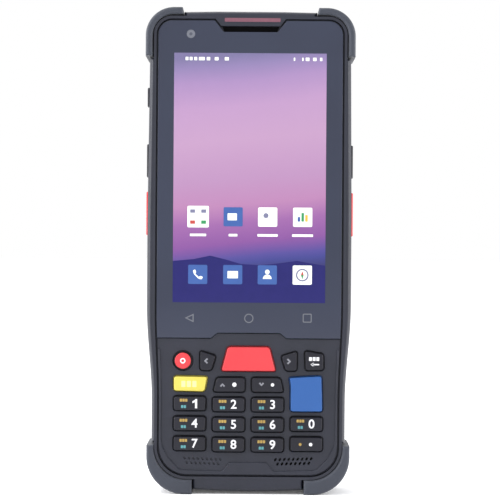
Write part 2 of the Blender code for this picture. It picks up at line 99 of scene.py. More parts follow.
def new_material(name, **settings):
    """A material, with its Principled shader's constant values set on its own sockets."""
    material = bpy.data.materials.new(name)
    material.use_nodes = True
    shader = material.node_tree.nodes["Principled BSDF"]
    for key, value in settings.items():
        shader.inputs[key.replace("_", " ")].default_value = value
    return material, shader


def two_tone(name, colours, patch, detail=2.0, sockets=("Base Color",), **settings):
    """A material that drifts between two colours, in cloudy patches of a size in metres."""
    material, shader = new_material(name, **settings)
    place = add_node(material, "ShaderNodeTexCoord").outputs["Object"]
    drift = add_node(material, "ShaderNodeTexNoise", {"Scale": 1 / patch, "Detail": detail},
                     {"Vector": place})
    tone = add_node(material, "ShaderNodeMix",
                    {"data_type": "RGBA", 6: srgb(colours[0]), 7: srgb(colours[1])},
                    {0: drift.outputs["Fac"]})
    for socket in sockets:
        material.node_tree.links.new(tone.outputs[2], shader.inputs[socket])
    return material


def studio_light(name, place, aim, size, power):
    """A square soft light, with its size in metres and its power in watts."""
    light = bpy.data.lights.new(name, "AREA")
    light.shape = "SQUARE"
    light.size = size
    light.energy = power
    lamp = bpy.data.objects.new(name, light)
    lamp.location = place
    lamp.rotation_euler = (Vector(aim) - Vector(place)).to_track_quat("-Z", "Y").to_euler()
    bpy.context.scene.collection.objects.link(lamp)


scene = bpy.context.scene
scene.view_settings.view_transform = "Standard"
middle = Vector((0.0, 0.0, (cad_box[0][2] + cad_box[1][2]) / 2))
glass_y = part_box("display_glass")[0].y

lens = bpy.data.cameras.new("camera")
lens.sensor_width = SENSOR
lens.lens = SENSOR * CAMERA_DISTANCE / VIEW_WIDTH
camera = bpy.data.objects.new("camera", lens)
turn = Matrix.Rotation(math.pi / 2, 4, "X") @ Matrix.Rotation(CAMERA_ROLL, 4, "Z")
place = (CAMERA_SIDE, glass_y - CAMERA_DISTANCE, middle.z + CAMERA_LIFT)
camera.matrix_world = Matrix.Translation(place) @ turn
scene.collection.objects.link(camera)
scene.camera = camera

studio_light("soft_key", (-0.55, -0.5, 1.4), middle, 0.8, 14.0)
studio_light("right_strip", (1.0, -0.1, 0.25), middle, 0.6, 10.0)
studio_light("left_strip", (-1.0, -0.1, 0.35), middle, 0.6, 12.0)
studio_light("soft_back", (-0.3, 1.2, 0.9), middle, 1.0, 5.0)
world = bpy.data.worlds.new("pale_sky")
world.use_nodes = True
world.node_tree.nodes["Background"].inputs["Color"].default_value = srgb(PALE)
world.node_tree.nodes["Background"].inputs["Strength"].default_value = 1.0
scene.world = world

floor_mesh = bmesh.new()
bmesh.ops.create_circle(floor_mesh, cap_ends=True, segments=64, radius=FLOOR_RADIUS)
floor_data = bpy.data.meshes.new("floor")
floor_mesh.to_mesh(floor_data)
floor = bpy.data.objects.new("floor", floor_data)
scene.collection.objects.link(floor)
matt_board = two_tone("matt_paper_floor", ("FDFDFE", "FAFAFB"), FLOOR_PATCH, Roughness=0.9,
                      Emission_Color=srgb(PALE), Emission_Strength=0.08)
floor_data.materials.append(matt_board)

# ----------------------------------------------------------- front housing
# The rim round the glass and the keypad, injection moulded in dark grey PC/ABS with
# a fine spark-eroded texture. It is one shell with the side walls, and holds the
# pocket that the glass and the keypad panel are glued into.

Y_FRONT = glass_y / MM
Y_LEDGE = Y_FRONT + 1.7
Y_SPLIT = -3.5
GAP = 0.3
TOP_Z = 167.0
CHIN_Z = 0.5
WAIST_HALF = 33.65
SCREEN_HALF = 35.5
SHOULDER_HALF = 34.97
GROOVE_LOW, GROOVE_HIGH = 31.1, 32.1
GROOVE_TOP, GROOVE_BOTTOM = 163.5, 6.4
TOP_CENTRE, TOP_OUTER, TOP_INNER = (26.37, 157.95), 9.8, 7.7
LOW_CENTRE, LOW_OUTER = (22.05, 13.0), 13.0
LOW_INNER_CENTRE, LOW_INNER = (21.4, 16.1), 11.4
WALL = 2.2
FOOT_RADIUS, HEAD_RADIUS = 10.0, 5.2
FOOT_CENTRE = (GROOVE_LOW - FOOT_RADIUS, GROOVE_BOTTOM + FOOT_RADIUS)
HEAD_CENTRE = (GROOVE_HIGH - HEAD_RADIUS, GROOVE_TOP - HEAD_RADIUS)
SWELL_START, SWELL_RISE = 32.0, 32.0
SCREEN_FOOT_Z, SHOULDER_Z = 96.0, 150.6
RIM_BACK, RIM_WIDTH, RIM_DEPTH = -6.5, 1.55, 5.95
POCKET_WALL, LEDGE = 0.95, 2.6
SLOT_HALF, SLOT_LOW, SLOT_HIGH = 8.6, 159.7, 161.0
SIDE_KEY_Y, SIDE_FLANGE = -6.4, 0.85
MERGE, FLAT = 0.0005, 0.002


def arc(centre, radius, start, end, steps=16):
    """Points of an arc in X and Z, with its angles in degrees from +X towards +Z."""
    points = []
    for step in range(steps + 1):
        angle = math.radians(start + (end - start) * step / steps)
        points.append((centre[0] + radius * math.cos(angle), centre[1] + radius * math.sin(angle)))
    return points


def mirrored(half):
    """A whole anticlockwise outline from its right half, listed bottom to top."""
    return half + [(-x, z) for x, z in reversed(half)]


def flipped(outline):
    return [(-x, z) for x, z in reversed(outline)]


def inset(outline, distance):
    """An anticlockwise outline moved inwards by a distance, or outwards if it is negative."""
    corners = [Vector(point) for point in outline]
    moved = []
    for index, here in enumerate(corners):
        along_in = (here - corners[index - 1]).normalized()
        along_out = (corners[(index + 1) % len(corners)] - here).normalized()
        inward_in = Vector((-along_in.y, along_in.x))
        inward_out = Vector((-along_out.y, along_out.x))
        reach = distance / (1 + inward_in.dot(inward_out))
        moved.append(tuple(here + (inward_in + inward_out) * reach))
    return moved


def rounded(corners, radius, steps=6):
    """An outline with each corner replaced by a short curve."""
    corners = [Vector(corner) for corner in corners]
    points = []
    for index, here in enumerate(corners):
        back = corners[index - 1] - here
        ahead = corners[(index + 1) % len(corners)] - here
        reach = min(radius, 0.45 * back.length, 0.45 * ahead.length)
        start = here + back.normalized() * reach
        end = here + ahead.normalized() * reach
        for step in range(steps + 1):
            t = step / steps
            points.append(tuple(start * (1 - t) ** 2 + here * 2 * t * (1 - t) + end * t ** 2))
    return points


def swell(z, low, high):
    """Half width that grows smoothly from the keypad up to the screen."""
    t = min(max((z - SWELL_START) / SWELL_RISE, 0.0), 1.0)
    return low + (high - low) * t * t * (3 - 2 * t)


def body_half(z):
    """Half width of the case: it narrows a little from the screen's foot to the shoulder."""
    if z > SCREEN_FOOT_Z:
        rise = (z - SCREEN_FOOT_Z) / (SHOULDER_Z - SCREEN_FOOT_Z)
        return SCREEN_HALF + (SHOULDER_HALF - SCREEN_HALF) * rise
    return swell(z, WAIST_HALF, SCREEN_HALF)


def groove_half(z):
    """Half width of the groove round the glass and the keypad."""
    return swell(z, GROOVE_LOW, GROOVE_HIGH)


SWELL_HEIGHTS = [SWELL_START + SWELL_RISE * step / 16 for step in range(17)]


def body_outline():
    """Outer edge of both housings, stepped in where the bumpers sit."""
    half = [(x, CHIN_Z + 0.6 * (x / 19.6) ** 2) for x in (3.0, 6.5, 10.0, 13.0, 16.5, 19.6)]
    foot = arc(LOW_INNER_CENTRE, LOW_INNER - GAP, -90, 0)
    half += [(19.6, foot[0][1] + 0.15)] + foot + [(foot[-1][0], 17.3)]
    half += [(body_half(z), z) for z in [17.45] + SWELL_HEIGHTS + [SCREEN_FOOT_Z, SHOULDER_Z]]
    shoulder = arc(TOP_CENTRE, TOP_INNER - GAP, 0, 90)
    half += [(shoulder[0][0], 150.75)] + shoulder
    half += [(23.1, shoulder[-1][1] - 0.15), (23.1, TOP_Z - 0.3), (12.0, TOP_Z - 0.08)]
    return mirrored(half)


def pocket_outline(clearance):
    """Edge of the front pocket: the groove line moved outwards, with the earpiece tab."""
    side = GROOVE_LOW + clearance
    half = arc(FOOT_CENTRE, FOOT_RADIUS + clearance, -90, 0)
    half += [(side, SWELL_HEIGHTS[0])]
    half += [(groove_half(z) + clearance, z) for z in SWELL_HEIGHTS[1:]]
    half += arc(HEAD_CENTRE, HEAD_RADIUS + clearance, 0, 90)
    half += [(12.1, GROOVE_TOP + clearance), (10.2, 161.35)]
    return mirrored(half)


def filled(curve, merge):
    """The mesh that a curve fills, with its doubles merged."""
    holder = bpy.data.objects.new("outline", curve)
    bpy.context.scene.collection.objects.link(holder)
    evaluated = holder.evaluated_get(bpy.context.evaluated_depsgraph_get())
    mesh = bpy.data.meshes.new_from_object(evaluated)
    bm = bmesh.new()
    bm.from_mesh(mesh)
    bpy.data.objects.remove(holder)
    bpy.data.curves.remove(curve)
    bpy.data.meshes.remove(mesh)
    bmesh.ops.remove_doubles(bm, verts=bm.verts, dist=merge)
    return bm


def turned(bm, angle, axis, move=(0, 0, 0)):
    """Turn a shape about an axis through the origin, then move it."""
    bmesh.ops.rotate(bm, cent=(0, 0, 0), matrix=Matrix.Rotation(angle, 3, axis), verts=bm.verts)
    bmesh.ops.translate(bm, vec=move, verts=bm.verts)
    return bm


def plate(outlines, y_front, y_back, edge=0.0, segments=3):
    """A flat panel drawn in X and Z; any outline after the first is a hole. Its rims are rounded."""
    curve = bpy.data.curves.new("outline", "CURVE")
    curve.dimensions = "2D"
    curve.fill_mode = "BOTH"
    curve.extrude = (y_back - y_front) / 2 - edge
    curve.bevel_depth = edge
    curve.bevel_resolution = segments
    curve.offset = -edge
    for outline in outlines:
        spline = curve.splines.new("POLY")
        spline.points.add(len(outline) - 1)
        for point, (x, z) in zip(spline.points, outline):
            point.co = (x, z, 0.0, 1.0)
        spline.use_cyclic_u = True
    bm = filled(curve, MERGE)
    bmesh.ops.dissolve_limit(bm, angle_limit=FLAT, verts=[], edges=bm.edges)
    turned(bm, math.pi / 2, "X", (0, (y_front + y_back) / 2, 0))
    bmesh.ops.recalc_face_normals(bm, faces=bm.faces)
    return bm


def taper(bm, facing, steps):
    """Narrow a plate towards one cap. Each step is (how far inwards, how far along Y)."""
    cap = [face for face in bm.faces if face.normal.y * facing > 0.99]
    for inwards, along in steps:
        bmesh.ops.inset_region(bm, faces=cap, thickness=inwards, depth=along, use_even_offset=True)


def round_over(width, depth, count):
    """Steps of a quarter ellipse, for taper."""
    steps = []
    for step in range(count):
        here, there = (math.radians(90.0 * (step + side) / count) for side in (0, 1))
        steps.append((width * (math.cos(here) - math.cos(there)), depth * (math.sin(there) - math.sin(here))))
    return steps


def block(x_range, y_range, z_range, edge=0.0):
    """A rectangular block, with its edges rounded if it has an edge radius."""
    bm = bmesh.new()
    ranges = (x_range, y_range, z_range)
    bmesh.ops.create_cube(bm, size=1.0)
    bmesh.ops.scale(bm, vec=[high - low for low, high in ranges], verts=bm.verts)
    bmesh.ops.translate(bm, vec=[(low + high) / 2 for low, high in ranges], verts=bm.verts)
    if edge:
        bmesh.ops.bevel(bm, geom=bm.edges[:], offset=edge, segments=3, profile=0.5, affect="EDGES",
                        material=-1)
    return bm


def disc(x, z, radius, y_front, y_back, edge=0.0):
    """A round bar along Y, with both rims rounded if it has an edge radius."""
    bm = bmesh.new()
    bmesh.ops.create_cone(bm, cap_ends=True, segments=40, radius1=radius, radius2=radius,
                          depth=y_back - y_front)
    if edge:
        rims = [e for e in bm.edges if abs(e.verts[0].co.z - e.verts[1].co.z) < 0.001]
        bmesh.ops.bevel(bm, geom=rims, offset=edge, segments=3, profile=0.5, affect="EDGES", material=-1)
    return turned(bm, math.pi / 2, "X", (x, (y_front + y_back) / 2, z))


def sideways(bm, facing, move=(0, 0, 0)):
    """Turn a shape drawn towards -Y so that it faces +X or -X, then move it."""
    return turned(bm, facing * math.pi / 2, "Z", move)


def scratch_object(bm):
    """A throwaway object in triangles, for the boolean modifiers of combined."""
    bmesh.ops.triangulate(bm, faces=bm.faces)
    mesh = bpy.data.meshes.new("scratch")
    bm.to_mesh(mesh)
    bm.free()
    item = bpy.data.objects.new("scratch", mesh)
    bpy.context.scene.collection.objects.link(item)
    return item


def combined(bm, steps):
    """A closed shape with others cut from it or joined to it, in order."""
    base = scratch_object(bm)
    tools = []
    for operation, shape in steps:
        tools.append(scratch_object(shape))
        modifier = base.modifiers.new(operation, "BOOLEAN")
        modifier.operation = operation
        modifier.solver = "MANIFOLD"
        modifier.object = tools[-1]
    evaluated = base.evaluated_get(bpy.context.evaluated_depsgraph_get())
    mesh = bpy.data.meshes.new_from_object(evaluated)
    result = bmesh.new()
    result.from_mesh(mesh)
    bpy.data.meshes.remove(mesh)
    for item in tools + [base]:
        bpy.data.meshes.remove(item.data)
    bmesh.ops.remove_doubles(result, verts=result.verts, dist=MERGE)
    bmesh.ops.dissolve_limit(result, angle_limit=FLAT, verts=[], edges=result.edges)
    return result


def make_piece(name, bm, materials, body, replaced=(), sharp=32.0):
    """A finished piece in metres, with its materials, riding on its body."""
    bmesh.ops.triangulate(bm, faces=[face for face in bm.faces if len(face.verts) > 4])
    bmesh.ops.scale(bm, vec=(MM, MM, MM), verts=bm.verts)
    mesh = bpy.data.meshes.new(name)
    bm.to_mesh(mesh)
    bm.free()
    mesh.shade_smooth()
    mesh.set_sharp_from_angle(angle=math.radians(sharp))
    item = bpy.data.objects.new(name, mesh)
    for material in materials:
        mesh.materials.append(material)
    bpy.context.scene.collection.objects.link(item)
    weighted = item.modifiers.new("weighted_normals", "WEIGHTED_NORMAL")
    weighted.keep_sharp = True
    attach(item, body)
    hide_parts(*replaced)


def moulded_plastic(name, colours, roughness, grain, relief, **settings):
    """Moulded plastic with a spark-eroded skin. The real grain is 0.1 mm, too fine to show, so it
    is drawn coarser; slow mottling from the flow of the melt runs between the two colours."""
    material, shader = new_material(name, **settings)
    place = add_node(material, "ShaderNodeTexCoord").outputs["Object"]
    flow = add_node(material, "ShaderNodeTexNoise", {"Scale": 1 / (14.0 * MM), "Detail": 4.0},
                    {"Vector": place})
    skin = add_node(material, "ShaderNodeTexNoise", {"Scale": 1 / (grain * MM), "Detail": 3.0},
                    {"Vector": place})
    both = add_node(material, "ShaderNodeMath", {"operation": "MULTIPLY_ADD", 1: 0.45},
                    {0: skin.outputs["Fac"], 2: flow.outputs["Fac"]})
    mottle = add_node(material, "ShaderNodeMapRange", {"From Min": 0.4, "From Max": 1.05},
                      {"Value": both.outputs[0]})
    tint = add_node(material, "ShaderNodeMix",
                    {"data_type": "RGBA", 6: srgb(colours[0]), 7: srgb(colours[1])},
                    {0: mottle.outputs["Result"]})
    gloss = add_node(material, "ShaderNodeMapRange",
                     {"To Min": roughness - 0.08, "To Max": roughness + 0.08},
                     {"Value": skin.outputs["Fac"]})
    dimple = add_node(material, "ShaderNodeBump", {"Strength": 0.4, "Distance": relief * MM},
                      {"Height": skin.outputs["Fac"]})
    links = material.node_tree.links
    links.new(tint.outputs[2], shader.inputs["Base Color"])
    links.new(gloss.outputs["Result"], shader.inputs["Roughness"])
    links.new(dimple.outputs["Normal"], shader.inputs["Normal"])
    return material


housing_plastic = moulded_plastic("spark_eroded_pc_abs", ("191C26", "20222F"), 0.5, 0.55, 0.05, IOR=1.58,
                                  Specular_IOR_Level=0.3)

SIDE_KEYS = ["left_scan_trigger", "right_scan_trigger", "left_volume_key", "right_function_key",
             "left_talk_key"]
SCREWS = {"top_left": (-30.3, 127.0), "top_right": (30.3, 127.0),
          "bottom_left": (-27.0, 10.5), "bottom_right": (27.0, 10.5)}


def side_key_span(name):
    """Middle height, length and outer reach of a side key, from its node."""
    low, high = (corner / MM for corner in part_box(name))
    return (low.z + high.z) / 2, high.z - low.z - 2 * SIDE_FLANGE, max(-low.x, high.x)


def rectangle(left, right, low, high):
    """Corners of an upright rectangle, anticlockwise."""
    return [(left, low), (right, low), (right, high), (left, high)]


def rounded_box_outline(half_width, half_height, radius):
    """A rounded rectangle about the origin."""
    return rounded(rectangle(-half_width, half_width, -half_height, half_height), radius)


def build_front_housing():
    shell = plate([body_outline()], RIM_BACK, Y_SPLIT - GAP / 2)
    taper(shell, -1, round_over(RIM_WIDTH, RIM_DEPTH, 12))
    window = arc(FOOT_CENTRE, FOOT_RADIUS - LEDGE, -90, 0)
    window += [(groove_half(z) - LEDGE, z) for z in SWELL_HEIGHTS + [158.8]]
    inner = plate([inset(body_outline(), WALL)], Y_LEDGE + 1.5, Y_SPLIT + 1.0)
    steps = [("UNION", plate([pocket_outline(GAP + POCKET_WALL)], Y_FRONT, Y_LEDGE + 2.5)),
             ("DIFFERENCE", plate([pocket_outline(GAP)], Y_FRONT - 1.0, Y_LEDGE)),
             ("DIFFERENCE", inner),
             ("DIFFERENCE", plate([mirrored(window)], Y_LEDGE - 1.0, Y_LEDGE + 2.5)),
             ("DIFFERENCE", block((-SLOT_HALF, SLOT_HALF), (Y_LEDGE - 1.0, Y_LEDGE + 2.5),
                                  (SLOT_LOW, SLOT_HIGH)))]
    for name in SIDE_KEYS:
        side = -1 if name.startswith("left") else 1
        z, length, _ = side_key_span(name)
        hole = plate([rounded_box_outline(2.25, length / 2 + 0.45, 1.1)], -40.0, -31.5)
        steps.append(("DIFFERENCE", sideways(hole, side, (0, SIDE_KEY_Y, z))))
    return combined(shell, steps)


make_piece("front_housing_shell", build_front_housing(), [housing_plastic], "case",
           ["front_housing"])

# ------------------------------------------------- earpiece and front strip
# The strip over the earpiece is pad printed on the housing in dull red, and the mesh
# behind the earpiece slot is woven black wire glued in from behind.

faded_red_ink = two_tone("pad_printed_red_ink", ("5D3745", "754654"), 0.9 * MM, 4.0, Roughness=0.5)
strip = plate([rounded(rectangle(-9.0, 10.2, 162.8, 164.1), 0.3)],
              Y_FRONT - 0.03, Y_FRONT + 0.1)
make_piece("front_strip", strip, [faded_red_ink], "case")

black_mesh = moulded_plastic("black_woven_mesh", ("020203", "060608"), 0.8, 0.35, 0.1,
                             Specular_IOR_Level=0.1)
MESH_EDGE = [(-8.9, 159.0), (8.9, 159.0), (9.9, 161.6), (-9.9, 161.6)]
make_piece("earpiece_mesh", plate([MESH_EDGE], Y_LEDGE - 0.12, Y_LEDGE - 0.02), [black_mesh], "case")

# ------------------------------------------------------------ keypad panel
# The panel round the keys is a separate moulding in the same plastic, with a raised lip
# along its sides and foot. It is pierced over the loudspeaker, and only dented opposite.

KEYS = ["power_key", "left_key", "scan_key", "right_key", "delete_key", "shift_key", "up_key",
        "down_key", "enter_key", "point_key"] + [f"key_{digit}" for digit in range(10)]
SEAM_Z, SEAM_RISE, SEAM_GAP = 53.75, 1.8, 0.09
STEP_LINE = [(5.9, 11.1), (6.6, 10.8), (8.6, 8.3), (9.3, 8.0), (22.6, 8.4), (23.9, 8.8), (27.6, 12.7),
             (29.5, 16.6), (29.9, 18.8)]
LIP_STEPS = 10
LIP = 0.5
GLASS_THICK = 1.4


def cap_outline(node):
    """Edge of a key's cap in X and Z, from the front face of its node."""
    bm = bmesh.new()
    bm.from_mesh(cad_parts[node].data)
    bmesh.ops.scale(bm, vec=(1 / MM, 1 / MM, 1 / MM), verts=bm.verts)
    bmesh.ops.remove_doubles(bm, verts=bm.verts, dist=0.002)
    bmesh.ops.dissolve_limit(bm, angle_limit=0.02, verts=[], edges=bm.edges)
    fronts = [face for face in bm.faces if face.normal.y < -0.99]
    front = min(fronts, key=lambda face: (face.calc_center_median().y, -face.calc_area()))
    points = [(v.co.x, v.co.z) for v in front.verts]
    area = sum(a[0] * b[1] - b[0] * a[1] for a, b in zip(points, points[1:] + points[:1]))
    bm.free()
    points = points if area > 0 else points[::-1]
    return rounded(inset(points, -0.3), 0.5, 3)


CAPS = {name: cap_outline(name) for name in KEYS}
POWER_CENTRE = (-22.6, 46.0)


def fascia_outline(clearance):
    """Edge of the keypad panel, with the seam that meets the glass along its top."""
    half = arc(FOOT_CENTRE, FOOT_RADIUS - clearance, -90, 0)
    half += [(groove_half(z) - clearance, z) for z in SWELL_HEIGHTS[:10] + [SEAM_Z - SEAM_GAP]]
    half += [(13.1, SEAM_Z - SEAM_GAP), (10.9, SEAM_Z + SEAM_RISE - SEAM_GAP)]
    return mirrored(half)


def lip_outline():
    """The raised lip: between the panel's edge and the step line, open towards the screen."""
    outer = arc(FOOT_CENTRE, FOOT_RADIUS - GAP, -90, 0)
    outer += [(groove_half(z) - GAP, z) for z in SWELL_HEIGHTS[:LIP_STEPS]]
    inner = STEP_LINE + [(groove_half(z) - 1.2, z) for z in SWELL_HEIGHTS[:LIP_STEPS]]
    return mirrored(outer + inner[::-1])


def ring(centre, radius, points):
    """A whole circle as an outline."""
    return arc(centre, radius, 0, 360 - 360 / points, points - 1)


def grille_slots(side, width):
    """Two rows of slanted slots, nine over eight."""
    slots = []
    for row, count in enumerate((9, 8)):
        for index in range(count):
            x = 9.5 + 0.75 * row + 1.54 * index
            z = 12.0 - 1.5 * row + 0.05 * index
            circle = ring((0.0, 0.0), width, 12)
            outline = [(x + dx + 0.5 * dz, z + 1.3 * dz) for dx, dz in circle]
            slots.append(outline if side > 0 else flipped(outline))
    return slots


def build_keypad_panel():
    holes = [inset(CAPS[name], -0.45) for name in KEYS if name != "power_key"]
    holes.append(ring(POWER_CENTRE, 3.55, 36))
    holes += grille_slots(1, 0.42)
    face = plate([fascia_outline(GAP)] + holes, Y_FRONT + LIP, Y_FRONT + GLASS_THICK, 0.15, 3)
    steps = [("UNION", plate([lip_outline()], Y_FRONT, Y_FRONT + LIP + 0.35, 0.45, 4))]
    for outline in grille_slots(-1, 0.38):
        steps.append(("DIFFERENCE", plate([outline], Y_FRONT - 0.2, Y_FRONT + LIP + 0.4)))
    return combined(face, steps)


make_piece("keypad_panel", build_keypad_panel(), [housing_plastic], "case", ["keypad_fascia"])

# ---------------------------------------------------------------- the keys
# Hard caps moulded in one shot each and glued to the rubber mat below. The black ones
# are satin PC; the coloured ones are brighter and smoother. Their marks are printed in thick
# white, gold, teal, grey and pale yellow ink, and short bars stand for words.

KEY_FACE = -13.36
FLANGE_Y = -10.8
KEY_EDGE = 0.32
CAP_BACK, FLANGE_BACK, FLANGE_REACH = -10.2, -10.0, 0.85
POWER_SUNK = 0.9
INK = 0.03
DIGIT_X, DIGIT_HEIGHT = 1.75, 3.1
WORD_PITCH, WORD_WIDTH = 0.92, 0.78
ARROWS = {"up_key": (-8.9, 37.9, 0.9, 0), "down_key": (4.5, 37.9, 0.9, 180),
          "left_key": (-14.8, 46.0, 1.0, 90), "right_key": (14.1, 46.0, 1.0, -90)}
DOTS = {"up_key": (-4.8, 37.9, 0.75), "down_key": (8.3, 37.9, 0.6)}
black_cap = moulded_plastic("satin_black_pc_keycap", ("0C0C15", "121320"), 0.42, 0.4, 0.02, IOR=1.58,
                            Specular_IOR_Level=0.25)
red_cap = moulded_plastic("coral_red_pc_keycap", ("BE2E36", "C4363C"), 0.4, 0.5, 0.015, IOR=1.58,
                          Specular_IOR_Level=0.3)
yellow_cap = moulded_plastic("lemon_yellow_pc_keycap", ("C1B249", "C5B851"), 0.42, 0.5, 0.015, IOR=1.58,
                             Specular_IOR_Level=0.3)
blue_cap = moulded_plastic("mid_blue_pc_keycap", ("1C4B89", "215190"), 0.42, 0.5, 0.015, IOR=1.58,
                           Specular_IOR_Level=0.3)
INK_COLOURS = {"white_key_ink": ("C6C6CB", "DADADE"), "gold_key_ink": ("876E31", "A68A45"),
               "teal_key_ink": ("367379", "519096"), "grey_key_ink": ("686971", "7E7F87"),
               "pale_yellow_key_ink": ("DCD886", "E4E094")}
# The power key is red, but its cap is drawn black round its red disc: that black ring is painted shade of the
# recess round the key.
CAP_FINISH = {"power_key": (black_cap, "key_red"), "scan_key": (red_cap, "key_red"),
              "shift_key": (yellow_cap, "key_yellow"), "enter_key": (blue_cap, "key_blue")}
INKS = [moulded_plastic(name, colours, 0.5, 0.5, 0.01) for name, colours in INK_COLOURS.items()] + [red_cap]
WHITE, GOLD, TEAL, GREY, PALE_YELLOW, RED_INSERT = 1, 2, 3, 4, 5, 6
ONE = [(0.1, -1.6), (0.85, -1.6), (0.85, 1.6), (0.25, 1.6), (-0.05, 1.15), (-0.8, 0.8), (-0.8, 0.15),
       (0.1, 0.5)]


def printed(bm, shape, ink):
    """Add a printed shape to a piece, in the ink of that material slot."""
    for face in shape.faces:
        face.material_index = ink
    mesh = bpy.data.meshes.new("print")
    shape.to_mesh(mesh)
    bm.from_mesh(mesh)
    bpy.data.meshes.remove(mesh)
    shape.free()


def inked(bm, outlines, ink):
    """Print flat marks on the face of a key's cap."""
    printed(bm, plate(outlines, KEY_FACE - INK, KEY_FACE + 0.05), ink)


def bar(x, z, width, height):
    """Outline of a short bar about its middle."""
    return rounded(rectangle(x - width / 2, x + width / 2, z - height / 2, z + height / 2), 0.15, 2)


def chevron(x, z, size, turn_degrees):
    """A V of two strokes, point first, turned anticlockwise from pointing up."""
    stroke = 0.42
    shape = [(-size, -0.5 * size), (-size + stroke, -0.5 * size - stroke), (0.0, 0.5 * size - 1.6 * stroke),
             (size - stroke, -0.5 * size - stroke), (size, -0.5 * size), (0.0, 0.5 * size)]
    spin = Matrix.Rotation(math.radians(turn_degrees), 2)
    return [tuple(Vector((x, z)) + spin @ Vector(point)) for point in shape]


def digit_mesh(character, x, z, height):
    """A digit as a solid print, thickened to a bold weight."""
    curve = bpy.data.curves.new("digit", "FONT")
    curve.body = character
    curve.size = height * 1.38
    curve.offset = 0.075
    curve.resolution_u = 6
    curve.extrude = INK / 2 + 0.02
    curve.align_x = "CENTER"
    curve.align_y = "CENTER"
    return turned(filled(curve, 0.0001), math.pi / 2, "X", (x, KEY_FACE - INK / 2 + 0.02, z))


def key_cap(name):
    """Flange, straight wall and rounded rim of a key. The power key's is sunk, round a red disc, and the
    black of its cap round the disc is painted shade of the recess round the key.
    """
    sunk = POWER_SUNK if name == "power_key" else 0.0
    cap = plate([CAPS[name]], KEY_FACE + sunk, CAP_BACK, KEY_EDGE, 4)
    flange = plate([inset(CAPS[name], -FLANGE_REACH)], FLANGE_Y, FLANGE_BACK)
    return combined(cap, [("UNION", flange)])


def key_marks(name, bm):
    """Everything that is printed on one key."""
    low, high = (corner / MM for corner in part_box(name))
    x, z = (low.x + high.x) / 2, (low.z + high.z) / 2
    if name[-1].isdigit():
        if name == "key_1":
            inked(bm, [[(x + DIGIT_X + dx, z + dz) for dx, dz in ONE]], WHITE)
        else:
            printed(bm, digit_mesh(name[-1], x + DIGIT_X, z, DIGIT_HEIGHT), WHITE)
        for count, start, rise, ink in ((3, -3.0, 1.15, GOLD), (2, -2.55, -1.05, TEAL)):
            for index in range(count):
                inked(bm, [bar(x + start + WORD_PITCH * index, z + rise, WORD_WIDTH, 1.0)], ink)
    elif name == "point_key":
        inked(bm, [ring((x - 2.1, z), 0.5, 12)], GOLD)
        inked(bm, [ring((x + 1.5, z), 0.6, 12)], WHITE)
    elif name == "power_key":
        # The red disc sits on the power key's black cap; the black ring left round it is painted shade of the
        # recess.
        printed(bm, disc(x, z, 2.75, KEY_FACE, -12.2, 0.35), RED_INSERT)
        inked(bm, [ring((x, z), 0.95, 36), ring((x, z), 0.5, 36)], WHITE)
    elif name in ARROWS:
        inked(bm, [chevron(*ARROWS[name])], GREY)
        if name in DOTS:
            dot_x, dot_z, radius = DOTS[name]
            inked(bm, [ring((dot_x, dot_z), radius, 12)], WHITE)
    elif name == "delete_key":
        for index in range(3):
            inked(bm, [bar(21.3 + 1.25 * index, 46.9, 1.0, 1.3)], WHITE)
        inked(bm, [bar(23.0, 45.0, 2.6, 0.45)], WHITE)
        inked(bm, [[(21.3, 45.0), (22.3, 44.3), (22.3, 45.7)]], WHITE)
    elif name == "shift_key":
        for index in range(3):
            inked(bm, [bar(x - 2.4 + 1.9 * index, z, 1.4, 2.1)], PALE_YELLOW)


for name in KEYS:
    finish, slot = CAP_FINISH.get(name, (black_cap, "key_black"))
    cap_mesh = key_cap(name)
    key_marks(name, cap_mesh)
    make_piece(name + "_cap", cap_mesh, [finish] + INKS, name, [name])

# --------------------------------------------------------------- side keys
# The two scan triggers are red caps that stand a little proud of the walls; the other
# three side keys are black. Each has a flange inside the wall and a rounded rim.

SIDE_HALF = 1.8
trigger_red = moulded_plastic("scarlet_pc_trigger", ("CE131A", "DB1E28"), 0.38, 0.5, 0.015, IOR=1.58)
for name in SIDE_KEYS:
    side = -1 if name.startswith("left") else 1
    z, length, reach = side_key_span(name)
    flange = rounded_box_outline(SIDE_HALF + SIDE_FLANGE, length / 2 + SIDE_FLANGE, 1.3)
    key = combined(plate([rounded_box_outline(SIDE_HALF, length / 2, 0.9)], -reach, -32.0, 0.45, 5),
                   [("UNION", plate([flange], -32.6, -31.9))])
    sideways(key, side, (0, SIDE_KEY_Y, z))
    is_trigger = "trigger" in name
    make_piece(name + "_cap", key, [trigger_red if is_trigger else black_cap], name, [name])

# ----------------------------------------------------------------- display
# Strengthened cover glass with a dark border printed on its back, and a lit panel behind
# its clear middle. The panel's sunset, hills and plain icons are laid on its face here.

SCREEN = (-26.3, 26.2, 66.1, 152.0)
border_print = two_tone("printed_border_under_glass", ("2C2F3C", "323747"), 30.0 * MM, Roughness=0.4,
                        Coat_Weight=0.5, Coat_Roughness=0.04, Specular_IOR_Level=0.0)
PANEL_GLOSS = {"Roughness": 0.3, "Coat_Weight": 0.5, "Coat_Roughness": 0.04, "Specular_IOR_Level": 0.0,
               "Emission_Strength": 0.05}


def glass_outline():
    """Edge of the cover glass, from the seam over the keypad to the earpiece tab."""
    half = [(10.8, SEAM_Z + SEAM_RISE + SEAM_GAP), (13.0, SEAM_Z + SEAM_GAP)]
    half += [(groove_half(z) - GAP, z) for z in [SEAM_Z + SEAM_GAP] + SWELL_HEIGHTS[12:]]
    half += arc(HEAD_CENTRE, HEAD_RADIUS - GAP, 0, 90)
    half += [(12.4, GROOVE_TOP - GAP), (9.3, 159.3)]
    return mirrored(half)


make_piece("cover_glass", plate([glass_outline()], Y_FRONT, Y_FRONT + GLASS_THICK, 0.2, 3), [border_print],
           "case", ["display_glass"])

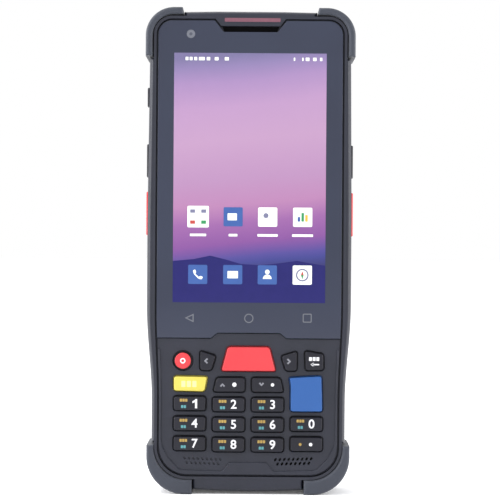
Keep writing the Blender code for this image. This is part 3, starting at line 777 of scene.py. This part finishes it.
SUNSET = [(0.0, "2C2944"), (0.03, "2A294D"), (0.12, "2C2C55"), (0.165, "373974"), (0.19, "463F7C"),
          (0.25, "704680"), (0.33, "805487"), (0.40, "966B90"), (0.50, "967496"), (0.66, "9D7E9C"),
          (0.80, "997B9D"), (0.90, "897198"), (0.96, "75688E"), (1.0, "655F81")]
lit_panel, lit_shader = new_material("lit_sunset_panel", **PANEL_GLOSS)
panel_place = add_node(lit_panel, "ShaderNodeTexCoord").outputs["Object"]
drift = add_node(lit_panel, "ShaderNodeTexNoise", {"Scale": 1 / (40.0 * MM), "Detail": 2.0},
                 {"Vector": panel_place})
axes = add_node(lit_panel, "ShaderNodeSeparateXYZ", links={"Vector": panel_place})
height = add_node(lit_panel, "ShaderNodeMapRange",
                  {"From Min": SCREEN[2] * MM, "From Max": SCREEN[3] * MM, "To Max": 0.92},
                  {"Value": axes.outputs["Z"]})
lean = add_node(lit_panel, "ShaderNodeMath", {"operation": "MULTIPLY_ADD", 1: -1.0},
                {0: axes.outputs["X"], 2: height.outputs["Result"]})
wander = add_node(lit_panel, "ShaderNodeMath", {"operation": "MULTIPLY_ADD", 1: 0.06},
                  {0: drift.outputs["Fac"], 2: lean.outputs[0]})
sky = add_node(lit_panel, "ShaderNodeValToRGB", links={"Fac": wander.outputs[0]})
stops = sky.color_ramp.elements
stops[0].position, stops[0].color = SUNSET[0][0], srgb(SUNSET[0][1])
stops[1].position, stops[1].color = 0.95, srgb(SUNSET[-1][1])
for position, code in SUNSET[1:-1]:
    stops.new(0.92 * position + 0.03).color = srgb(code)
for socket in ("Base Color", "Emission Color"):
    lit_panel.node_tree.links.new(sky.outputs["Color"], lit_shader.inputs[socket])
left, right, bottom, top = SCREEN
screen_image = plate([rectangle(left, right, bottom, top)], Y_FRONT - 0.02, Y_FRONT + 0.1)
make_piece("lit_screen", screen_image, [lit_panel], "case")


def glowing(name, codes):
    """A colour shown by the lit panel: it glows a little and has the glass's gloss over it."""
    return two_tone(name, codes, 3.0 * MM, sockets=("Base Color", "Emission Color"), **PANEL_GLOSS)


hill_glow = glowing("hill_indigo", ("1A1A54", "1F1D5A"))
ICON_COLOURS = {"icon_white": ("D8DDD7", "DFE2DC"), "icon_blue": ("345089", "3B568F"),
                "icon_red": ("A13F3C", "AB4743"), "icon_green": ("317C4E", "388556"),
                "icon_yellow": ("BA9938", "C0A144"), "icon_grey": ("656681", "6F7089")}
icon_glows = [glowing(name, codes) for name, codes in ICON_COLOURS.items()]

HILLS = [(left, bottom), (right, bottom), (right, 79.0), (22.0, 79.6), (16.5, 80.6), (11.0, 79.8),
         (4.0, 79.0), (-2.9, 79.4), (-8.5, 81.0), (-13.5, 82.2), (-19.0, 81.0), (left, 80.3)]
make_piece("screen_hills", plate([HILLS], Y_FRONT - 0.03, Y_FRONT + 0.05),
           [hill_glow], "case")

ICON_COLUMNS = (-17.7, -5.65, 6.25, 18.3)
APP_Z, DOCK_Z, NAME_Z = 95.6, 75.7, 89.3
GLOW = Y_FRONT - 0.04
BLUE, RED, GREEN, YELLOW, SOFT_GREY = 1, 2, 3, 4, 5


def on_screen(bm, outlines, colour, level=1):
    """Lay a flat shape on the panel; a higher level lies over a lower one."""
    printed(bm, plate(outlines, GLOW - 0.01 * level, GLOW + 0.02), colour)


def tile(x, z, size):
    """Rounded square behind an icon."""
    return rounded(rectangle(x - size / 2, x + size / 2, z - size / 2, z + size / 2), 0.5, 4)


icons = bmesh.new()
for index, x in enumerate(ICON_COLUMNS):
    on_screen(icons, [tile(x, APP_Z, 7.4 if index == 0 else 6.6)], BLUE if index == 1 else 0)
    on_screen(icons, [tile(x, DOCK_Z, 6.6)], 0 if index == 3 else BLUE)
for dx, dz, colour in ((-1.9, 1.9, SOFT_GREY), (1.9, 1.9, SOFT_GREY), (-1.9, -1.9, RED), (1.9, -1.9, GREEN)):
    on_screen(icons, [bar(ICON_COLUMNS[0] + dx, APP_Z + dz, 1.7, 1.2)], colour, 2)
on_screen(icons, [bar(ICON_COLUMNS[1] - 0.3, APP_Z, 3.2, 2.4)], 0, 2)
on_screen(icons, [ring((ICON_COLUMNS[2] - 0.6, APP_Z + 0.5), 0.9, 18)], SOFT_GREY, 2)
for dx, height, colour in ((-1.3, 1.6, BLUE), (0.0, 3.0, GREEN), (1.3, 2.3, YELLOW)):
    on_screen(icons, [bar(ICON_COLUMNS[3] + dx, APP_Z - 1.5 + height / 2, 0.9, height)], colour, 2)
handset = [(-1.7, 1.3), (-0.9, 1.8), (-0.5, 0.7), (-0.9, 0.3), (0.4, -0.9), (0.8, -0.5), (1.8, -0.8),
           (1.4, -1.7), (0.3, -1.5), (-1.3, 0.1)]
handset_edge = [(ICON_COLUMNS[0] + dx, DOCK_Z + dz) for dx, dz in reversed(handset)]
on_screen(icons, [rounded(handset_edge, 0.3, 2)], 0, 2)
on_screen(icons, [bar(ICON_COLUMNS[1], DOCK_Z, 3.6, 2.5)], 0, 2)
on_screen(icons, [ring((ICON_COLUMNS[2], DOCK_Z + 1.0), 0.8, 18)], 0, 2)
on_screen(icons, [arc((ICON_COLUMNS[2], DOCK_Z - 1.4), 1.5, 0, 180, 16)], 0, 2)
compass = (ICON_COLUMNS[3], DOCK_Z)
on_screen(icons, [ring(compass, 2.2, 60), ring(compass, 1.7, 60)], SOFT_GREY, 2)
for tip, colour, level in ((1.5, RED, 2), (-1.5, GREEN, 3)):
    needle = [(compass[0] - 0.5, compass[1]), (compass[0], compass[1] + tip), (compass[0] + 0.5, compass[1])]
    on_screen(icons, [needle if tip < 0 else needle[::-1]], colour, level)
for x, length in zip(ICON_COLUMNS, (5.6, 3.0, 7.0, 7.2)):
    on_screen(icons, [bar(x, NAME_Z, length, 0.85)], 0)
STATUS_MARKS = ((-21.9, 1.0), (-20.5, 1.0), (-18.9, 1.0), (-16.8, 2.0), (-14.5, 1.2), (-11.7, 1.3),
                (-8.2, 1.4), (15.1, 0.5), (18.0, 0.5), (19.6, 1.3), (22.1, 1.2), (24.3, 0.8))
for x, width in STATUS_MARKS:
    on_screen(icons, [bar(x, 150.0, width, 1.15)], 0)
make_piece("screen_icons", icons, icon_glows, "case")

# The touch marks and the ring round the front camera are printed on the back of the real
# glass, and are laid on its face here.
touch_ink = glowing("touch_mark_grey", ("5A5C64", "62656C"))
marks = bmesh.new()
back = [(-22.1, 60.7), (-19.0, 62.2), (-19.0, 59.2)]
home_ring = [ring((0.0, 60.7), 1.6, 36), ring((0.0, 60.7), 1.25, 36)]
for outlines in ([back[::-1], inset(back[::-1], 0.38)], home_ring,
                 [tile(20.1, 60.9, 3.1), inset(tile(20.1, 60.9, 3.1), 0.35)]):
    printed(marks, plate(outlines, Y_FRONT - 0.02, Y_FRONT + 0.05), 0)
make_piece("touch_marks", marks, [touch_ink], "case")

camera_ring = moulded_plastic("front_camera_ring", ("4F535D", "595C67"), 0.3, 0.5, 0.01, Coat_Weight=1.0)
camera_glass = moulded_plastic("front_camera_pupil", ("343744", "424653"), 0.15, 0.6, 0.005,
                               Coat_Weight=1.0)
EYE = (-20.6, 158.5)
eye = bmesh.new()
printed(eye, plate([ring(EYE, 1.45, 36)], Y_FRONT - 0.02, Y_FRONT + 0.05), 0)
printed(eye, plate([ring(EYE, 0.55, 36)], Y_FRONT - 0.03, Y_FRONT + 0.05), 1)
make_piece("front_camera_window", eye, [camera_ring, camera_glass], "case")

# ------------------------------------------------------------ soft bumpers
# Four corners of dark grey TPU rubber, overmoulded on the housings and rolled round the
# whole depth. The rubber is matt and a little paler than the plastic.

bumper_rubber = moulded_plastic("overmoulded_tpu", ("292D37", "333742"), 0.62, 0.7, 0.06, IOR=1.5,
                                Sheen_Weight=0.08, Sheen_Roughness=0.5, Specular_IOR_Level=0.4)
SEATED = 0.28
top_bumper = [(23.5, TOP_CENTRE[1] + TOP_OUTER), (23.2, TOP_CENTRE[1] + TOP_INNER - SEATED)]
top_bumper += arc(TOP_CENTRE, TOP_INNER - SEATED, 90, 0, 24)
top_bumper += [(TOP_CENTRE[0] + TOP_INNER - SEATED, 151.1), (TOP_CENTRE[0] + TOP_OUTER, 150.9)]
top_bumper += arc(TOP_CENTRE, TOP_OUTER, 0, 90, 28)
low_bumper = [(19.3, 0.0)] + arc(LOW_CENTRE, LOW_OUTER, -90, 0, 32)
low_bumper += [(LOW_CENTRE[0] + LOW_OUTER, 16.8), (LOW_INNER_CENTRE[0] + LOW_INNER - SEATED, 17.0)]
low_bumper += arc(LOW_INNER_CENTRE, LOW_INNER - SEATED, 0, -90, 28)
low_bumper += [(19.3, LOW_INNER_CENTRE[1] - LOW_INNER + SEATED)]
for name, outline in (("top_right", top_bumper), ("bottom_right", low_bumper)):
    for side, shape in (("right", outline), ("left", flipped(outline))):
        node = "bumper_" + name.replace("right", side)
        low, high = (corner.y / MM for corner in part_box(node))
        make_piece(node + "_roll", plate([shape], low, high, 1.12, 8), [bumper_rubber], "case", [node],
                   50.0)

# ------------------------------------------------------------ rear housing
# The back shell in the same PC/ABS, with the scan head raised across its top, the camera
# and flash recessed into it, and the bay for the battery under its cover.

COVER_HALF, COVER_LOW, COVER_HIGH, COVER_SEAT = 27.0, 20.0, 118.0, 5.9
BAY_HALF, BAY_LOW, BAY_HIGH, BAY_FLOOR = 24.3, 31.0, 101.0, -1.0
Y_HUMP = 13.5
HUMP = [(4.0, 119.0), (7.0, 119.0), (Y_HUMP, 130.5), (Y_HUMP, 162.9), (6.0, 166.0), (4.0, 166.0)]
HUMP_HOLLOW = [(3.0, 122.5), (6.2, 122.5), (11.3, 131.5), (11.3, 161.0), (3.0, 161.0)]
WINDOW_CENTRE = (0.0, 9.9, 164.35)
WINDOW_TILT = math.atan2(166.0 - 162.9, Y_HUMP - 6.0)
CAMERA_HOLE, FLASH_HOLE = (-9.0, 140.5), (0.5, 140.5)
HUMP_HALF, HOLLOW_HALF = 21.2, 20.0
BOSS, HEAD_HOLE, SHANK_HOLE = 3.1, 2.2, 1.3
CATCH_POCKET = ((-5.3, 5.3), (COVER_SEAT + GAP, 9.0), (18.3, COVER_LOW + 1.0))
CONTACT_HOLE = ((-6.3, 6.3), (-4.0, 0.0), (95.0, 99.6))
SOCKET_HOLE = ((-4.9, 4.9), (-1.5, 2.6), (-1.0, 5.0))
CRADLE_HOLE = ((9.2, 16.3), (-1.3, 2.7), (-1.0, 5.0))


def hump_block(profile, half_width, edge_steps):
    """A profile drawn in Y and Z, run across X, with its ends rounded over."""
    bm = plate([profile], -half_width, half_width)
    for facing in (-1, 1):
        taper(bm, facing, edge_steps)
    return sideways(bm, 1)


def window_block(half_width, half_depth, low, high, edge=0.0):
    """A block on the sloped top of the scan head, low to high along the slope's normal."""
    bm = block((-half_width, half_width), (-half_depth, half_depth), (low, high), edge)
    return turned(bm, -WINDOW_TILT, "X", WINDOW_CENTRE)


def build_rear_housing():
    shell = plate([body_outline()], Y_SPLIT + GAP / 2, 2.0)
    taper(shell, 1, round_over(3.5, 5.0, 14))
    hump = rounded(HUMP, 1.2, 5)
    steps = [("UNION", hump_block(hump, HUMP_HALF, round_over(1.1, 1.1, 5))),
             ("DIFFERENCE", plate([inset(body_outline(), WALL)], Y_SPLIT - 1.0, 4.5)),
             ("DIFFERENCE", hump_block(HUMP_HOLLOW, HOLLOW_HALF, [])),
             ("UNION", block((-BAY_HALF - 1.5, BAY_HALF + 1.5), (BAY_FLOOR - 1.2, 5.0),
                             (BAY_LOW - 1.5, BAY_HIGH + 1.5)))]
    for x, z in SCREWS.values():
        steps.append(("UNION", disc(x, z, BOSS, Y_SPLIT + GAP / 2 + 0.1, 4.8)))
    steps += [("DIFFERENCE", plate([inset(body_outline(), 1.1)], Y_SPLIT - 1.0, -2.4)),
              ("DIFFERENCE", block((-BAY_HALF, BAY_HALF), (BAY_FLOOR, 9.0), (BAY_LOW, BAY_HIGH))),
              ("DIFFERENCE", block((-COVER_HALF, COVER_HALF), (COVER_SEAT, 9.0), (COVER_LOW, COVER_HIGH))),
              ("DIFFERENCE", block(*CATCH_POCKET)),
              ("DIFFERENCE", block(*CONTACT_HOLE))]
    for x, z in SCREWS.values():
        steps.append(("DIFFERENCE", disc(x, z, HEAD_HOLE, 2.6, 9.0)))
        steps.append(("DIFFERENCE", disc(x, z, SHANK_HOLE, -5.0, 4.0)))
    steps += [("DIFFERENCE", window_block(14.3, 3.1, -1.5, 2.0)),
              ("DIFFERENCE", window_block(11.5, 2.2, -6.0, 2.0))]
    for (x, z), recess, aperture in ((CAMERA_HOLE, 4.3, 2.8), (FLASH_HOLE, 2.3, 1.2)):
        steps.append(("DIFFERENCE", disc(x, z, recess, 12.1, 15.0)))
        steps.append(("DIFFERENCE", disc(x, z, aperture, 10.0, 13.0)))
    steps += [("DIFFERENCE", block(*SOCKET_HOLE)), ("DIFFERENCE", block(*CRADLE_HOLE))]
    return combined(shell, steps)


make_piece("rear_housing_shell", build_rear_housing(), [housing_plastic], "case", ["rear_housing"])

# ------------------------------------------------- battery cover and latch
# The cover is a thin moulding in the same plastic with three shallow finger grooves. Its
# black acetal latch is ribbed for the thumb, and its tongue slides in the cover's channel.

COVER_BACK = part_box("battery_cover")[1].y / MM
cover_half, cover_low, cover_high = COVER_HALF - GAP, COVER_LOW + GAP, COVER_HIGH - GAP
cover_edge = rounded(rectangle(-cover_half, cover_half, cover_low, cover_high), 0.8, 4)
latch_slot = rounded(rectangle(-4.3, 4.3, 24.7, 32.8), 0.5, 3)
cover_steps = [("DIFFERENCE", block((-5.3, 5.3), (5.0, 7.5), (19.0, 36.3)))]
for step in range(3):
    groove = plate([bar(0.0, 60.0 + 12.0 * step, 36.0, 3.2)], COVER_BACK - 0.35, COVER_BACK + 1.0)
    cover_steps.append(("DIFFERENCE", groove))
cover = combined(plate([cover_edge, latch_slot], COVER_SEAT + GAP, COVER_BACK, 0.4, 4), cover_steps)
make_piece("battery_cover_panel", cover, [housing_plastic], "battery_cover", ["battery_cover"])

latch_acetal = moulded_plastic("black_acetal", ("121318", "1B1C22"), 0.35, 0.5, 0.02, IOR=1.48)
ribs = []
for step in range(4):
    z = 25.8 + 0.97 * step
    ribs.append(("DIFFERENCE", block((-3.3, 3.3), (8.55, 10.0), (z - 0.2, z + 0.2))))
thumb = plate([rounded(rectangle(-4.0, 4.0, 25.0, 29.5), 0.6, 4)], 6.9, 8.9, 0.3, 4)
latch = combined(block((-5.0, 5.0), (6.5, 7.2), (18.6, 33.0)), [("UNION", thumb)] + ribs)
make_piece("cover_latch_slider", latch, [latch_acetal], "cover_latch", ["cover_latch"])

# --------------------------------------------- scan window, camera and flash
# The scanner looks out through dark red acrylic. The camera's black glass has a bright
# turned ring round it, and the flash has a frosted plastic lens.

scan_acrylic = two_tone("dark_red_acrylic", ("2E050A", "4A0A12"), 9.0 * MM, 1.0, Roughness=0.08,
                        IOR=1.49, Coat_Weight=1.0, Coat_Roughness=0.03)
make_piece("scan_window_pane", window_block(14.0, 2.8, -1.2, -0.3, 0.2), [scan_acrylic], "case",
           ["scan_window"])


def turned_metal(name, colours, roughness, **settings):
    """Plated or turned metal: fine level streaks, and a gloss that varies with them."""
    material, shader = new_material(name, Metallic=1.0, **settings)
    place = add_node(material, "ShaderNodeTexCoord").outputs["Object"]
    along = add_node(material, "ShaderNodeMapping", {"Scale": (1.0, 1.0, 12.0)}, {"Vector": place})
    streaks = add_node(material, "ShaderNodeTexNoise", {"Scale": 1 / (1.6 * MM), "Detail": 3.0},
                       {"Vector": along.outputs["Vector"]})
    tone = add_node(material, "ShaderNodeMix",
                    {"data_type": "RGBA", 6: srgb(colours[0]), 7: srgb(colours[1])},
                    {0: streaks.outputs["Fac"]})
    gloss = add_node(material, "ShaderNodeMapRange",
                     {"To Min": roughness - 0.07, "To Max": roughness + 0.07},
                     {"Value": streaks.outputs["Fac"]})
    material.node_tree.links.new(tone.outputs[2], shader.inputs["Base Color"])
    material.node_tree.links.new(gloss.outputs["Result"], shader.inputs["Roughness"])
    return material


zinc_steel = turned_metal("zinc_plated_steel", ("A9ABB0", "C3C5C9"), 0.3)
lens_black = moulded_plastic("black_lens_glass", ("08080C", "101018"), 0.1, 0.8, 0.003, Coat_Weight=1.0)
lens_blue = moulded_plastic("coated_lens_pupil", ("10142E", "1C2448"), 0.08, 1.2, 0.003, Coat_Weight=1.0)
frosted_lens = moulded_plastic("frosted_flash_lens", ("D9D0A4", "EFE8C6"), 0.35, 0.5, 0.06, IOR=1.49)
camera_eye = bmesh.new()
x, z = CAMERA_HOLE
printed(camera_eye, disc(x, z, 3.55, 12.4, 13.1, 0.1), 0)
printed(camera_eye, plate([ring((x, z), 4.0, 60), ring((x, z), 3.45, 60)], 12.4, 13.3, 0.12), 1)
printed(camera_eye, disc(x, z, 1.5, 13.05, 13.14, 0.03), 2)
make_piece("camera_lens_glass", camera_eye, [lens_black, zinc_steel, lens_blue], "case", ["camera_lens"])
make_piece("flash_lens_dome", disc(*FLASH_HOLE, 2.0, 12.4, 13.3, 0.25), [frosted_lens], "case",
           ["flash_lens"])

# ------------------------------------------------------------------ screws
# Four zinc plated pan-head screws with six-lobed sockets, sunk in the rear housing.

for name, (x, z) in SCREWS.items():
    lobes = []
    for step in range(36):
        angle = 2 * math.pi * step / 36
        radius = 0.85 + 0.17 * math.cos(6 * angle)
        lobes.append((x + radius * math.cos(angle), z + radius * math.sin(angle)))
    screw = combined(disc(x, z, 1.9, 2.9, 4.4, 0.35), [("UNION", disc(x, z, 1.0, -7.5, 3.5, 0.2)),
                                                       ("DIFFERENCE", plate([lobes], 3.7, 6.0))])
    make_piece("housing_screw_" + name + "_head", screw, [zinc_steel], "case", ["housing_screw_" + name])

# ----------------------------------------------- charging socket and pads
# A drawn steel socket shell with its black tongue stands on a small green board, and gold
# plated pads in a black block beside it meet the charging cradle.


def downwards(bm):
    """Turn a piece that faces the user so that it faces the ground."""
    return turned(bm, -math.pi / 2, "X")


def solder_mask(name):
    """Green solder mask over copper: a grid of tracks shows as paler lines."""
    material, shader = new_material(name, Roughness=0.38, Coat_Weight=0.4, Coat_Roughness=0.2)
    place = add_node(material, "ShaderNodeTexCoord").outputs["Object"]
    tracks = add_node(material, "ShaderNodeTexBrick", {"Scale": 1 / (5.0 * MM), "Mortar Size": 0.03,
                                                       "Color1": srgb("0E5A34"), "Color2": srgb("116339"),
                                                       "Mortar": srgb("1B7A49")})
    flat = add_node(material, "ShaderNodeMapping", {"Rotation": (math.pi / 2, 0.0, 0.0)}, {"Vector": place})
    material.node_tree.links.new(flat.outputs["Vector"], tracks.inputs["Vector"])
    material.node_tree.links.new(tracks.outputs["Color"], shader.inputs["Base Color"])
    raised = add_node(material, "ShaderNodeBump", {"Strength": 0.3, "Distance": 0.03 * MM},
                      {"Height": tracks.outputs["Fac"]})
    material.node_tree.links.new(raised.outputs["Normal"], shader.inputs["Normal"])
    return material


board_green = solder_mask("green_solder_mask")
module_black = moulded_plastic("black_module_lcp", ("101014", "1A1A20"), 0.5, 0.5, 0.03)
gold_plate = turned_metal("gold_plated_pads", ("B8923F", "D0AA55"), 0.28)
SOCKET_Y = 0.5
SOCKET_EDGE = rounded_box_outline(4.5, 1.65, 1.3)
socket_shell = downwards(plate([SOCKET_EDGE, rounded_box_outline(4.1, 1.25, 1.0)], -7.3, -0.9, 0.08, 2))
printed(socket_shell, downwards(plate([SOCKET_EDGE], -8.3, -7.25)), 0)
printed(socket_shell, downwards(plate([rounded_box_outline(3.3, 0.3, 0.2)], -7.3, -1.9, 0.06, 2)), 1)
bmesh.ops.translate(socket_shell, vec=(0, SOCKET_Y, 0), verts=socket_shell.verts)
printed(socket_shell, block((-8.5, 8.5), (-1.9, -1.18), (3.2, 16.0), 0.08), 2)
make_piece("charging_socket_shell", socket_shell, [zinc_steel, module_black, board_green], "case",
           ["usb_board"])
cradle_block = block((9.5, 16.0), (-1.0, 2.4), (1.3, 5.0), 0.15)
for step in range(5):
    x = 10.5 + 1.12 * step
    printed(cradle_block, block((x - 0.38, x + 0.38), (-0.3, 1.7), (1.24, 1.5), 0.05), 1)
make_piece("cradle_contact_block", cradle_block, [module_black, gold_plate], "case", ["cradle_contacts"])

# ---------------------------------------------------------- hidden interior
# What the housings hold: boards in green solder mask, moulded modules, plated shields, the
# wrapped battery and the silicone mat and gasket. They keep their CAD shapes, and the
# battery has a paper label.

battery_wrap = moulded_plastic("black_battery_wrap", ("16171B", "212228"), 0.32, 2.5, 0.03)
grey_silicone = moulded_plastic("grey_silicone", ("7C8087", "8C9098"), 0.65, 0.6, 0.03, IOR=1.41)
red_silicone = moulded_plastic("red_silicone_gasket", ("6E1216", "84181C"), 0.6, 0.6, 0.03, IOR=1.41)
cast_magnesium = turned_metal("cast_chassis", ("9C9EA3", "B0B2B6"), 0.45)
panel_back = moulded_plastic("display_module_frame", ("16171C", "202128"), 0.35, 0.8, 0.02)
paper_label = moulded_plastic("white_paper_label", ("C9CACD", "DDDEE0"), 0.6, 1.5, 0.02)
label_ink = moulded_plastic("grey_label_ink", ("3A3C42", "4A4C52"), 0.6, 0.5, 0.01)
LABEL_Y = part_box("battery_pack")[1].y / MM
battery_label = plate([bar(0.0, 62.0, 30.0, 44.0)], LABEL_Y - 0.05, LABEL_Y + 0.08)
LABEL_LINES = (22.0, 25.0, 17.0, 24.0, 20.0, 25.0, 12.0)
LABEL_BARS = (0.5, 0.9, 0.4, 0.7, 0.5, 1.1, 0.4, 0.6, 0.9, 0.5, 0.7, 0.4)
for row, length in enumerate(LABEL_LINES):
    line = plate([bar(-12.8 + length / 2, 78.5 - 4.2 * row, length, 1.2)], LABEL_Y, LABEL_Y + 0.1)
    printed(battery_label, line, 1)
for step, width in enumerate(LABEL_BARS):
    stripe = plate([bar(-11.0 + 1.7 * step, 45.5, width, 6.0)], LABEL_Y, LABEL_Y + 0.1)
    printed(battery_label, stripe, 1)
make_piece("battery_label", battery_label, [paper_label, label_ink], "case")
INTERIOR = {"housing_seal": red_silicone, "display_panel": panel_back, "chassis_plate": cast_magnesium,
            "keypad_mat": grey_silicone, "keypad_board": board_green, "main_board": board_green,
            "earpiece": zinc_steel, "front_camera": module_black,
            "loudspeaker": module_black, "vibration_motor": zinc_steel, "card_holder": zinc_steel,
            "scan_engine": module_black, "rear_camera": module_black,
            "battery_pack": battery_wrap, "battery_contacts": module_black}
for node, finish in INTERIOR.items():
    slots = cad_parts[node].data.materials
    slots.clear()
    slots.append(finish)
